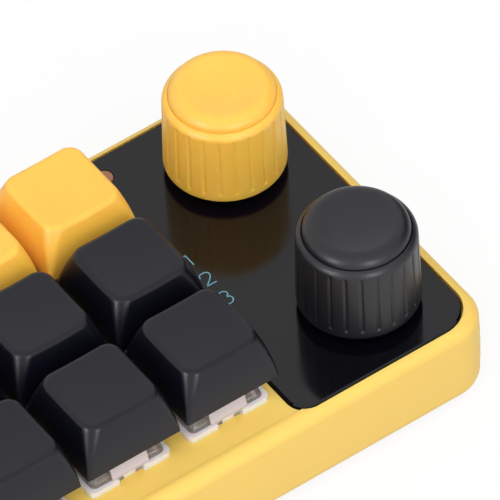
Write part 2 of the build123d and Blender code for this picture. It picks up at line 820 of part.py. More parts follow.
# Knob: grooved skirt, round shoulder, raised dished disc, hollow around its hub
draft_angle = degrees(atan((knob_base_radius - knob_shoulder_radius) / knob_shoulder_height))
crown_x = knob_crease_radius - knob_crown_radius
crown_z = knob_height - knob_crown_radius
dish_start = radians(90 + knob_dish_angle)
crown_in = (crown_x + knob_crown_radius * cos(dish_start), crown_z + knob_crown_radius * sin(dish_start))
dish_floor = crown_in[1] - crown_in[0] * tan(radians(knob_dish_angle / 2))
dish_curve = crown_in[0] / sin(radians(knob_dish_angle))
dish_half = radians(knob_dish_angle / 2)
dish_mid = (dish_curve * sin(dish_half), dish_floor + dish_curve * (1 - cos(dish_half)))
crease_low = (knob_crease_radius, knob_crease_height - knob_crease_depth)
crown_foot_angle = radians(knob_crown_angle)
crown_out = (
    crown_x + knob_crown_radius * cos(crown_foot_angle),
    crown_z + knob_crown_radius * sin(crown_foot_angle),
)
crown_mid_angle = (crown_foot_angle + dish_start) / 2
crown_mid = (
    crown_x + knob_crown_radius * cos(crown_mid_angle),
    crown_z + knob_crown_radius * sin(crown_mid_angle),
)
with BuildPart() as knob_model:
    with BuildSketch(Plane.XZ):
        with BuildLine():
            Line((0, 0), (knob_base_radius, 0))
            Line((knob_base_radius, 0), (knob_shoulder_radius, knob_shoulder_height))
            shoulder = TangentArc(
                (knob_shoulder_radius, knob_shoulder_height),
                (knob_crease_radius + knob_crease_depth, knob_crease_height),
                tangent=(knob_shoulder_radius - knob_base_radius, knob_shoulder_height),
            )
            Line(shoulder @ 1, crease_low)
            Line(crease_low, crown_out)
            ThreePointArc(crown_out, crown_mid, crown_in)
            ThreePointArc(crown_in, dish_mid, (0, dish_floor))
            Line((0, dish_floor), (0, 0))
        make_face()
    revolve(axis=Axis.Z)
    fillet(knob_model.edges().group_by(Axis.Z)[0], knob_foot_edge)
    with PolarLocations(knob_base_radius + groove_radius - groove_depth, groove_count):
        with Locations(Location((0, 0, 0), (0, -draft_angle, 0))):
            add(groove_cutter.part, mode=Mode.SUBTRACT)
    with BuildSketch():
        Circle(knob_shoulder_radius - knob_wall)
    extrude(amount=knob_height - knob_roof, mode=Mode.SUBTRACT)
    with BuildSketch(Plane.XY.offset(hub_bottom - knob_bottom)):
        Circle(hub_radius)
    extrude(amount=knob_roof_bottom - hub_bottom)
    with BuildSketch(Plane.XY.offset(hub_bottom - knob_bottom)):
        flat_circle(shaft_radius + shaft_gap, shaft_flat + shaft_gap)
    extrude(amount=knob_roof_bottom - hub_bottom, mode=Mode.SUBTRACT)

for name, (x, y) in knobs.items():
    with BuildPart() as knob:
        with Locations((x, y, knob_bottom)):
            add(knob_model.part)
    save(knob, f"knob_{name}")
    with BuildPart() as shaft:
        with Locations((x, y)):
            add(shaft_model.part)
    save(shaft, f"shaft_{name}")
    with BuildPart() as rotor:
        with Locations((x, y)):
            add(rotor_model.part)
    save(rotor, f"rotor_{name}")
    with BuildPart() as push_spring:
        with Locations((x, y)):
            add(push_spring_model.part)
    save(push_spring, f"push_spring_{name}")
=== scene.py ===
"""Looks of a small programmable keyboard with sculpted keys, a polished panel and two ribbed knobs.

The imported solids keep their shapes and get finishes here. New pieces add what the solids leave
plain: the ribbed knobs, the coils of the key springs, the light guides of the switches, the printed
layer numerals and the contacts inside the socket.
"""
import logging
import math
from dataclasses import dataclass, field
from enum import Enum
from typing import Any, Iterable

import bmesh
import bpy
from mathutils import Matrix, Vector


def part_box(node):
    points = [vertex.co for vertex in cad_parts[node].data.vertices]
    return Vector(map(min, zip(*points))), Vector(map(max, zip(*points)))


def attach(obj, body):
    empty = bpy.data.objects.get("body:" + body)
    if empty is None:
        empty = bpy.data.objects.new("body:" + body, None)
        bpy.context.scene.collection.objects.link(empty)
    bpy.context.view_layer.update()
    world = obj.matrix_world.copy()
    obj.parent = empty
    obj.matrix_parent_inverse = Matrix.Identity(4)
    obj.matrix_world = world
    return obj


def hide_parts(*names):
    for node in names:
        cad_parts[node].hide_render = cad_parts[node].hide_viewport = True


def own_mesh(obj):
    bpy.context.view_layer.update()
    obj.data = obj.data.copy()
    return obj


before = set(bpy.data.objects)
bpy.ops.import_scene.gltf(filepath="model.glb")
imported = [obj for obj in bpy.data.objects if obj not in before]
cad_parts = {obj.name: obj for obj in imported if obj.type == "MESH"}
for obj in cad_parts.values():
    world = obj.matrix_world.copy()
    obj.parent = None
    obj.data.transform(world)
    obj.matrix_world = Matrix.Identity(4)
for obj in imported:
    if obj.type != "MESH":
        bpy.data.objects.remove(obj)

Tree = bpy.types.NodeTree
Socket = bpy.types.NodeSocket

MM = 0.001
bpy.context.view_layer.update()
log = logging.getLogger("keyboard")


def linear(code: str) -> tuple[float, float, float, float]:
    """Turn an sRGB hex colour into linear values.

    Args:
        code: Six hex digits, such as "F2B632".

    Returns:
        Red, green, blue and alpha for a Blender colour socket.
    """
    parts = [int(code[i:i + 2], 16) / 255 for i in (0, 2, 4)]
    red, green, blue = [p / 12.92 if p <= 0.04045 else ((p + 0.055) / 1.055) ** 2.4 for p in parts]
    return red, green, blue, 1.0


def add_node(
    tree: Tree,
    kind: str,
    settings: dict[str, Any] | None = None,
    inputs: dict[str | int, Any] | None = None,
) -> bpy.types.Node:
    """Add one node, set its properties and fill its sockets.

    Args:
        tree: Tree that gets the node.
        kind: Blender's type name for the node.
        settings: Values of the node's properties, by name.
        inputs: Constants or output sockets for the node's inputs, by name or place.

    Returns:
        The new node.
    """
    node = tree.nodes.new(kind)
    for name, value in (settings or {}).items():
        setattr(node, name, value)
    for key, value in (inputs or {}).items():
        if isinstance(value, Socket):
            tree.links.new(value, node.inputs[key])
        else:
            node.inputs[key].default_value = value
    return node


def per_metre(size_mm: float) -> float:
    """Return the texture scale whose pattern repeats about every size_mm millimetres."""
    return 1.0 / (size_mm * MM)


def seen_directly(tree: Tree) -> Socket:
    """Return a socket that is 1 for rays that show a surface, 0 for those that light others."""
    path = add_node(tree, "ShaderNodeLightPath")
    eye = add_node(
        tree, "ShaderNodeMath", {"operation": "MAXIMUM"},
        {0: path.outputs["Is Camera Ray"], 1: path.outputs["Is Glossy Ray"]},
    )
    seen = add_node(
        tree, "ShaderNodeMath", {"operation": "MAXIMUM"},
        {0: eye.outputs[0], 1: path.outputs["Is Transmission Ray"]},
    )
    return seen.outputs[0]


def empty_material(name: str) -> tuple[bpy.types.Material, Tree]:
    """Start a material without nodes and return it with its tree."""
    made = bpy.data.materials.new(name)
    made.use_nodes = True
    made.node_tree.nodes.clear()
    return made, made.node_tree


def own_place(tree: Tree) -> Socket:
    """Return the socket with the place on the object itself."""
    return add_node(tree, "ShaderNodeTexCoord").outputs["Object"]


def noise(
    tree: Tree,
    place: Socket,
    size_mm: float,
    detail: float,
    more: dict[str, float] | None = None,
) -> Socket:
    """Add a noise pattern.

    Args:
        tree: Tree of the material.
        place: Socket with the coordinates.
        size_mm: Width of the pattern's features in millimetres.
        detail: Number of finer layers.
        more: Further inputs of the noise, by name.

    Returns:
        The pattern's socket, from 0 to 1.
    """
    inputs = {"Vector": place, "Scale": per_metre(size_mm), "Detail": detail, **(more or {})}
    return add_node(tree, "ShaderNodeTexNoise", inputs=inputs).outputs["Fac"]


def blend(
    tree: Tree, share: Socket, low: str, high: str,
) -> Socket:
    """Mix two colours by a pattern.

    Args:
        tree: Tree of the material.
        share: Socket with the pattern.
        low: Hex colour where the pattern is 0.
        high: Hex colour where it is 1.

    Returns:
        The mixed colour's socket.
    """
    inputs = {0: share, 6: linear(low), 7: linear(high)}
    return add_node(tree, "ShaderNodeMix", {"data_type": "RGBA"}, inputs).outputs[2]


def remap(
    tree: Tree,
    value: Socket,
    source: tuple[float, float],
    target: tuple[float, float],
) -> Socket:
    """Map a pattern from one range to another.

    Args:
        tree: Tree of the material.
        value: Socket with the pattern.
        source: Range that is read.
        target: Range that comes out.

    Returns:
        The mapped pattern's socket.
    """
    inputs = {
        "Value": value, "From Min": source[0], "From Max": source[1],
        "To Min": target[0], "To Max": target[1],
    }
    return add_node(tree, "ShaderNodeMapRange", inputs=inputs).outputs[0]


def surface(tree: Tree, inputs: dict[str | int, Any]) -> None:
    """Close a material with its surface.

    Args:
        tree: Tree of the material.
        inputs: Values and sockets of the surface shader, by name.
    """
    shader = add_node(tree, "ShaderNodeBsdfPrincipled", inputs=inputs)
    add_node(tree, "ShaderNodeOutputMaterial", inputs={"Surface": shader.outputs[0]})


# Most values of a noise pattern lie in this range.
NOISE_RANGE = (0.3, 0.7)
# Red light spreads farthest in yellow and white plastics, then green, then blue.
SPREAD_SHARES = (1.0, 0.28, 0.07)


class Skin(Enum):
    """How a moulding left its tool: grain width in mm, grain height in mm, roughness spread."""

    SPARK = (0.32, 0.012, 0.10)
    SATIN = (0.22, 0.005, 0.08)
    SMOOTH = (0.60, 0.0015, 0.05)


@dataclass(frozen=True)
class MouldedPlastic:
    """A plastic or rubber moulding: one pigment with faint clouds and the grain of its tool."""

    name: str
    pigment: str
    deeper: str
    roughness: float
    skin: Skin
    cloud_mm: float = 14.0
    ior: float = 1.5
    scatter: float = 0.0
    scatter_mm: float = 1.0

    def material(self) -> bpy.types.Material:
        """Build the material.

        Returns:
            The new material.
        """
        grain_mm, height_mm, spread = self.skin.value
        made, tree = empty_material(self.name)
        place = own_place(tree)
        clouds = noise(tree, place, self.cloud_mm, detail=3.0, more={"Roughness": 0.55})
        grain = noise(tree, place, grain_mm, detail=2.0, more={"Roughness": 0.6})
        polish = (self.roughness - spread / 2, self.roughness + spread / 2)
        relief = add_node(
            tree, "ShaderNodeBump",
            inputs={"Height": grain, "Distance": height_mm * MM, "Strength": 0.6},
        )
        surface(tree, {
            "Base Color": blend(tree, clouds, self.deeper, self.pigment),
            "Roughness": remap(tree, grain, NOISE_RANGE, polish), "IOR": self.ior,
            "Normal": relief.outputs[0], "Subsurface Weight": self.scatter,
            "Subsurface Radius": SPREAD_SHARES, "Subsurface Scale": self.scatter_mm * MM,
        })
        return made


@dataclass(frozen=True)
class PolishedAcrylic:
    """A cast acrylic sheet, dyed through and polished like a mirror, with faint wipe marks."""

    name: str
    dye: str
    sheen: str
    roughness: float
    wipe_mm: float = 9.0
    wiped: float = 1.8
    ior: float = 1.42

    def material(self) -> bpy.types.Material:
        """Build and return the material."""
        made, tree = empty_material(self.name)
        wipes = noise(tree, own_place(tree), self.wipe_mm, detail=4.0, more={"Distortion": 0.8})
        polish = (self.roughness, self.roughness * self.wiped)
        surface(tree, {
            "Base Color": blend(tree, wipes, self.dye, self.sheen),
            "Roughness": remap(tree, wipes, (0.35, 0.75), polish), "IOR": self.ior,
        })
        return made


@dataclass(frozen=True)
class WorkedMetal:
    """A bare or plated metal with the marks of its making drawn out along one axis."""

    name: str
    colour: str
    darker: str
    roughness: float
    mark_mm: float
    stretch: tuple[float, float, float]
    wear: tuple[float, float] = (0.8, 1.25)

    def material(self) -> bpy.types.Material:
        """Build and return the material."""
        made, tree = empty_material(self.name)
        drawn = add_node(
            tree, "ShaderNodeMapping", inputs={"Vector": own_place(tree), "Scale": self.stretch},
        )
        marks = noise(tree, drawn.outputs[0], self.mark_mm, detail=3.0)
        polish = (self.roughness * self.wear[0], self.roughness * self.wear[1])
        surface(tree, {
            "Base Color": blend(tree, marks, self.darker, self.colour), "Metallic": 1.0,
            "Roughness": remap(tree, marks, NOISE_RANGE, polish),
        })
        return made


@dataclass(frozen=True)
class FrostedPolycarbonate:
    """A clear moulding with a fine matt skin: part of the light goes through, the rest scatters."""

    name: str
    tint: str
    haze: str
    roughness: float
    transmission: float
    grain_mm: float = 0.5
    ior: float = 1.58
    wear: tuple[float, float] = (0.7, 1.3)

    def material(self) -> bpy.types.Material:
        """Build and return the material."""
        made, tree = empty_material(self.name)
        haze = noise(tree, own_place(tree), self.grain_mm, detail=2.0)
        polish = (self.roughness * self.wear[0], self.roughness * self.wear[1])
        surface(tree, {
            "Base Color": blend(tree, haze, self.tint, self.haze),
            "Roughness": remap(tree, haze, (0.0, 1.0), polish), "IOR": self.ior,
            "Transmission Weight": self.transmission,
        })
        return made


# ABS, moulded in a spark-eroded tool: warm even yellow whose fine grain softens every highlight.
CASE_YELLOW = MouldedPlastic(
    "abs_case_yellow", "EEC967", "EBC45E", 0.48, Skin.SPARK, 22.0, scatter=0.3, scatter_mm=2.0,
)
# PBT caps: a warmer pigment, slightly translucent, so that red light creeps into the shade.
CAP_YELLOW = MouldedPlastic(
    "pbt_cap_yellow", "FDC24E", "FBBD45", 0.45, Skin.SPARK, 10.0,
    ior=1.6, scatter=0.5, scatter_mm=1.6,
)
# PBT, carbon black: dark, with a soft gleam on the dished tops and along the rounded corners.
CAP_BLACK = MouldedPlastic("pbt_cap_black", "0B0B17", "08080F", 0.36, Skin.SPARK, 9.0, ior=1.42)
# ABS knobs from a satin tool: smoother than the case, and the yellow one slightly translucent.
KNOB_YELLOW = MouldedPlastic(
    "abs_knob_yellow", "F9C552", "F7C049", 0.42, Skin.SATIN, 12.0,
    ior=1.6, scatter=0.6, scatter_mm=1.2,
)
KNOB_BLACK = MouldedPlastic("abs_knob_black", "17171D", "111116", 0.40, Skin.SATIN, 12.0)
# Cast acrylic, dyed black and polished on its face.
PANEL_BLACK = PolishedAcrylic("acrylic_panel_black", "05050A", "07070D", 0.09)
# Nylon, white with a trace of warmth, from a smooth tool.
HOUSING_WHITE = MouldedPlastic(
    "nylon_housing_white", "EFE7E9", "E8DFE1", 0.42, Skin.SMOOTH, 5.0, scatter=0.5, scatter_mm=2.0,
)
# Polycarbonate, clear and lightly frosted: greyish white where the light scatters.
HOUSING_CLEAR = FrostedPolycarbonate("polycarbonate_clear", "F4F1F1", "ECE8E8", 0.10, 0.9, 2.0)
# Polycarbonate light guides, filled white so that they glow evenly.
GUIDE_WHITE = MouldedPlastic(
    "polycarbonate_guide_white", "CFC5C9", "C6BCC0", 0.25, Skin.SMOOTH, 3.0,
)
# Acetal stem, brown red and slick.
STEM_ACETAL = MouldedPlastic("acetal_stem_red", "8E2A1C", "7D2217", 0.30, Skin.SMOOTH, 5.0)
# Silicone feet: dull black with a dusty bloom.
FOOT_SILICONE = MouldedPlastic(
    "silicone_foot_black", "222224", "18181A", 0.75, Skin.SPARK, 4.0, ior=1.43,
)
# Button cap in salmon ABS.
BUTTON_SALMON = MouldedPlastic("abs_button_salmon", "A06C50", "946247", 0.40, Skin.SATIN, 3.0)
# Black epoxy packages, slightly grey from the mould.
EPOXY_BLACK = MouldedPlastic("epoxy_package_black", "26262A", "1E1E21", 0.55, Skin.SPARK, 3.0)
# Black glass-filled polymer of the encoder base and the socket's tongue.
POLYMER_BLACK = MouldedPlastic("polymer_base_black", "1C1C1E", "151517", 0.50, Skin.SATIN, 4.0)
# Rotor in natural acetal.
ROTOR_ACETAL = MouldedPlastic("acetal_rotor_natural", "DCD6C8", "CFC8B8", 0.38, Skin.SMOOTH, 4.0)
# Lamp packages, clear epoxy with a yellow tint.
LAMP_EPOXY = FrostedPolycarbonate("epoxy_lamp_clear", "F3EFD6", "E9E2BC", 0.12, 0.4)
# Circuit board: glossy black solder mask over glass laminate.
BOARD_MASK = MouldedPlastic("solder_mask_black", "0E1512", "0A0F0D", 0.28, Skin.SMOOTH, 2.0)
# Ink of the numerals, screen printed in pale blue.
NUMERAL_INK = MouldedPlastic("screen_ink_blue", "78B8CC", "6CAAC0", 0.45, Skin.SATIN, 0.8)
# Music wire of the springs, bright along its length.
SPRING_WIRE = WorkedMetal("steel_spring_wire", "C9CACD", "A9AAAE", 0.28, 0.3, (1.0, 1.0, 0.2))
# Drawn and nickel-plated sheet of the socket.
SOCKET_STEEL = WorkedMetal("steel_socket_plated", "C6C7CA", "B0B1B5", 0.25, 0.25, (1.0, 0.1, 1.0))
# Die-cast and plated encoder cover.
BUSHING_ZINC = WorkedMetal("zinc_bushing_plated", "B5B6B9", "9FA0A4", 0.35, 0.4, (1.0, 1.0, 1.0))
# Turned aluminium shaft, with rings from the lathe tool.
SHAFT_ALUMINIUM = WorkedMetal(
    "aluminium_shaft_turned", "C4C5C8", "AFB0B4", 0.30, 0.12, (0.1, 0.1, 1.0),
)
# Screws in black zinc: dark, with a worn grey gleam.
SCREW_ZINC = WorkedMetal("steel_screw_black_zinc", "4A4A4E", "36363A", 0.42, 0.5, (1.0, 1.0, 1.0))
# Stamped brass of the contacts, and the gold flash on the socket's contacts.
CONTACT_BRASS = WorkedMetal("brass_contact_stamped", "C9A65A", "B59148", 0.30, 0.3, (1.0, 1.0, 0.3))
CONTACT_GOLD = WorkedMetal("gold_flash_contact", "E0B45C", "CFA148", 0.22, 0.2, (1.0, 0.2, 1.0))


class Wardrobe:
    """Makes each finish's material once and puts it on pieces."""

    def __init__(self) -> None:
        """Start with no material made."""
        self.made: dict[str, bpy.types.Material] = {}

    def material(self, finish: Any) -> bpy.types.Material:
        """Return the finish's material, made on first use."""
        if finish.name not in self.made:
            self.made[finish.name] = finish.material()
        return self.made[finish.name]

    def dress(self, names: Iterable[str], finish: Any) -> None:
        """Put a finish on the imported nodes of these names."""
        for name in names:
            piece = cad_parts[name]
            piece.data.materials.clear()
            piece.data.materials.append(self.material(finish))
            log.info("%s finished in %s", name, finish.name)


class NodeShape:
    """A Geometry Nodes tree with named size inputs that is turned into a plain mesh piece."""

    def __init__(self, name: str, takes_geometry: bool = False) -> None:
        """Start a tree.

        Args:
            name: Name of the tree.
            takes_geometry: True if the tree works on the object's own geometry.
        """
        self.tree = bpy.data.node_groups.new(name, "GeometryNodeTree")
        shape, ends = "NodeSocketGeometry", self.tree.interface
        ends.new_socket("Geometry", in_out="OUTPUT", socket_type=shape)
        if takes_geometry:
            ends.new_socket("Geometry", in_out="INPUT", socket_type=shape)
        self.sockets: dict[str, str] = {}
        self.entry = self.tree.nodes.new("NodeGroupInput")

    def size(self, name: str, kind: str = "NodeSocketFloat") -> Socket:
        """Add a named input to the tree.

        Args:
            name: Name of the input.
            kind: Blender's socket type.

        Returns:
            The input's socket inside the tree.
        """
        made = self.tree.interface.new_socket(name, in_out="INPUT", socket_type=kind)
        self.sockets[name] = made.identifier
        return self.entry.outputs[name]

    def calc(
        self,
        operation: str,
        first: Socket | float,
        second: Socket | float = 0.0,
    ) -> Socket:
        """Add one sum to the tree.

        Args:
            operation: Blender's name of the operation.
            first: Number or socket that it starts from.
            second: Second number or socket, where the operation takes one.

        Returns:
            The socket that carries the result.
        """
        inputs = {0: first, 1: second}
        return add_node(self.tree, "ShaderNodeMath", {"operation": operation}, inputs).outputs[0]

    def close(self, shape: Socket) -> None:
        """End the tree with real geometry and the piece's material.

        Args:
            shape: Socket that carries the finished geometry.
        """
        real = add_node(self.tree, "GeometryNodeRealizeInstances", inputs={0: shape})
        finish = self.size("Material", "NodeSocketMaterial")
        coat = add_node(
            self.tree, "GeometryNodeSetMaterial",
            inputs={"Geometry": real.outputs[0], "Material": finish},
        )
        add_node(self.tree, "NodeGroupOutput", inputs={0: coat.outputs[0]})

    def piece(
        self,
        name: str,
        sizes: dict[str, Any],
        material: bpy.types.Material,
        start: bpy.types.ID | None = None,
        place: Matrix | None = None,
    ) -> bpy.types.Object:
        """Make one plain mesh piece from the tree.

        Args:
            name: Name of the piece.
            sizes: Values for the tree's inputs, by their names.
            material: Material that the tree sets.
            start: Curve or mesh that the tree starts from.
            place: Where the finished mesh goes.

        Returns:
            The new object, at the origin, with its place in its mesh.
        """
        seed = start or bpy.data.meshes.new(name + "_seed")
        source = bpy.data.objects.new(name + "_source", seed)
        bpy.context.scene.collection.objects.link(source)
        modifier = source.modifiers.new(self.tree.name, "NODES")
        modifier.node_group = self.tree
        for key, value in {**sizes, "Material": material}.items():
            modifier[self.sockets[key]] = value
        grown = source.evaluated_get(bpy.context.evaluated_depsgraph_get())
        mesh = bpy.data.meshes.new_from_object(grown)
        source.modifiers.remove(modifier)
        bpy.data.objects.remove(source)
        mesh.name = name
        mesh.transform(place or Matrix.Identity(4))
        made = bpy.data.objects.new(name, mesh)
        bpy.context.scene.collection.objects.link(made)
        log.info("%s made with %d faces", name, len(mesh.polygons))
        return made


@dataclass
class CaseShell:
    """Moulded case, its cover, feet and screws."""

    wardrobe: Wardrobe

    def dress(self) -> None:
        """Give the shell's nodes their finishes."""
        self.wardrobe.dress(["top_case", "bottom_cover"], CASE_YELLOW)
        self.wardrobe.dress(["rubber_feet"], FOOT_SILICONE)
        self.wardrobe.dress(["case_screws"], SCREW_ZINC)


@dataclass
class KeyBlock:
    """Caps, switches and springs of the key grid. Sizes are in millimetres."""

    wardrobe: Wardrobe
    rows: int = 3
    columns: int = 4
    wire: float = 0.4
    turns: float = 8.5
    turn_steps: int = 20
    wire_sides: int = 8
    travel: float = 4.0
    pitch: float = 19.05
    guide_width: float = 7.0
    guide_edge: float = 0.12
    guide_digits: int = 4
    guide_profile: tuple[tuple[float, float], ...] = (
        (0.0, 0.2), (-0.42, 0.2), (-0.46, 0.8), (-0.30, 1.0), (0.80, 4.6), (1.3, 4.6),
    )
    names: list[str] = field(default_factory=list)

    def __post_init__(self) -> None:
        """List the keys from the back left to the front right."""
        spots = [(row, col) for row in range(self.rows) for col in range(self.columns)]
        self.names = [f"r{row + 1}c{col + 1}" for row, col in spots]

    def coil_tree(self) -> NodeShape:
        """Describe a coil spring by its radius, height, turns and wire.

        Returns:
            The tree, ready to make springs.
        """
        shape = NodeShape("coil_spring")
        radius, height = shape.size("Radius"), shape.size("Height")
        spiral = add_node(
            shape.tree, "GeometryNodeCurveSpiral",
            inputs={
                "Resolution": self.turn_steps, "Rotations": shape.size("Turns"),
                "Start Radius": radius, "End Radius": radius, "Height": height,
            },
        )
        wire = add_node(
            shape.tree, "GeometryNodeCurvePrimitiveCircle",
            inputs={"Resolution": self.wire_sides, "Radius": shape.size("Wire Radius")},
        )
        coil = add_node(
            shape.tree, "GeometryNodeCurveToMesh",
            inputs={
                "Curve": spiral.outputs[0], "Profile Curve": wire.outputs[0], "Fill Caps": True,
            },
        )
        smooth = add_node(shape.tree, "GeometryNodeSetShadeSmooth", inputs={0: coil.outputs[0]})
        shape.close(smooth.outputs[0])
        return shape

    def guide_blank(self) -> bpy.types.Mesh:
        """Make one light guide: a lip on the flange and a slope that leans on the clear housing.

        Returns:
            The guide's mesh, with the middle of its lower back edge at the origin.
        """
        shape = bmesh.new()
        half = self.guide_width * MM / 2
        outline = [(-half, y * MM, z * MM) for y, z in self.guide_profile]
        side = shape.faces.new([shape.verts.new(point) for point in outline])
        grown = bmesh.ops.extrude_face_region(shape, geom=[side])
        corners = [v for v in grown["geom"] if isinstance(v, bmesh.types.BMVert)]
        bmesh.ops.translate(shape, verts=corners, vec=(2 * half, 0, 0))
        bmesh.ops.recalc_face_normals(shape, faces=shape.faces[:])
        bmesh.ops.bevel(
            shape, geom=shape.edges[:], offset=self.guide_edge * MM, segments=2, profile=0.5,
            affect="EDGES",
        )
        # The bevel's order and last digits change from run to run, so both are evened out.
        spots = {
            corner: tuple(round(c / MM, self.guide_digits) * MM for c in corner.co)
            for corner in shape.verts
        }
        corners = sorted(spots, key=spots.get)
        order = {corner: number for number, corner in enumerate(corners)}
        faces = []
        for face in shape.faces:
            ring = [order[corner] for corner in face.verts]
            start = ring.index(min(ring))
            faces.append(ring[start:] + ring[:start])
        mesh = bpy.data.meshes.new("light_guide_blank")
        mesh.from_pydata([spots[corner] for corner in corners], [], sorted(faces))
        shape.free()
        return mesh

    def guide_tree(self) -> NodeShape:
        """Describe the grid that repeats one light guide under every cap.

        Returns:
            The tree, ready to set the guides.
        """
        shape = NodeShape("light_guide_grid", takes_geometry=True)
        grid = add_node(
            shape.tree, "GeometryNodeMeshGrid",
            inputs={
                "Size X": shape.size("Length"), "Size Y": shape.size("Depth"),
                "Vertices X": shape.size("Columns", "NodeSocketInt"),
                "Vertices Y": shape.size("Rows", "NodeSocketInt"),
            },
        )
        spread = add_node(
            shape.tree, "GeometryNodeInstanceOnPoints",
            inputs={"Points": grid.outputs["Mesh"], "Instance": shape.entry.outputs["Geometry"]},
        )
        shape.close(spread.outputs[0])
        return shape

    def set_guides(self) -> None:
        """Set a white light guide on the front of each clear housing."""
        low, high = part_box("switch_tops")
        sizes = {
            "Length": (self.columns - 1) * self.pitch * MM, "Columns": self.columns,
            "Depth": (self.rows - 1) * self.pitch * MM, "Rows": self.rows,
        }
        front = (high.y - low.y) / 2 - sizes["Depth"] / 2
        place = Matrix.Translation(((low.x + high.x) / 2, (low.y + high.y) / 2 - front, low.z))
        guides = self.guide_tree().piece(
            "light_guides", sizes, self.wardrobe.material(GUIDE_WHITE), self.guide_blank(), place,
        )
        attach(guides, "chassis")

    def build(self) -> None:
        """Set the light guides and wind one spring for each key in the room of its plain sleeve."""
        self.set_guides()
        shape = self.coil_tree()
        steel = self.wardrobe.material(SPRING_WIRE)
        for name in self.names:
            low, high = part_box(f"spring_{name}")
            wire = self.wire * MM
            middle = (low + high) / 2
            height = high.z - low.z
            sizes = {
                "Radius": (high.x - low.x - wire) / 2, "Height": height - wire,
                "Turns": self.turns, "Wire Radius": wire / 2,
            }
            place = Matrix.Translation((middle.x, middle.y, low.z + wire / 2))
            coil = shape.piece(f"coil_{name}", sizes, steel, place=place)
            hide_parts(f"spring_{name}")
            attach(coil, "chassis")
            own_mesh(coil)

    def dress(self) -> None:
        """Give the keys their finishes: yellow caps at the back, black ones in front."""
        back_row = [n for n in self.names if n.startswith("r1")]
        self.wardrobe.dress([f"keycap_{n}" for n in back_row], CAP_YELLOW)
        self.wardrobe.dress([f"keycap_{n}" for n in self.names if n not in back_row], CAP_BLACK)
        self.wardrobe.dress([f"stem_{n}" for n in self.names], STEM_ACETAL)
        self.wardrobe.dress(["switch_bases"], HOUSING_WHITE)
        self.wardrobe.dress(["switch_tops"], HOUSING_CLEAR)
        self.wardrobe.dress(["contact_pins"], CONTACT_BRASS)


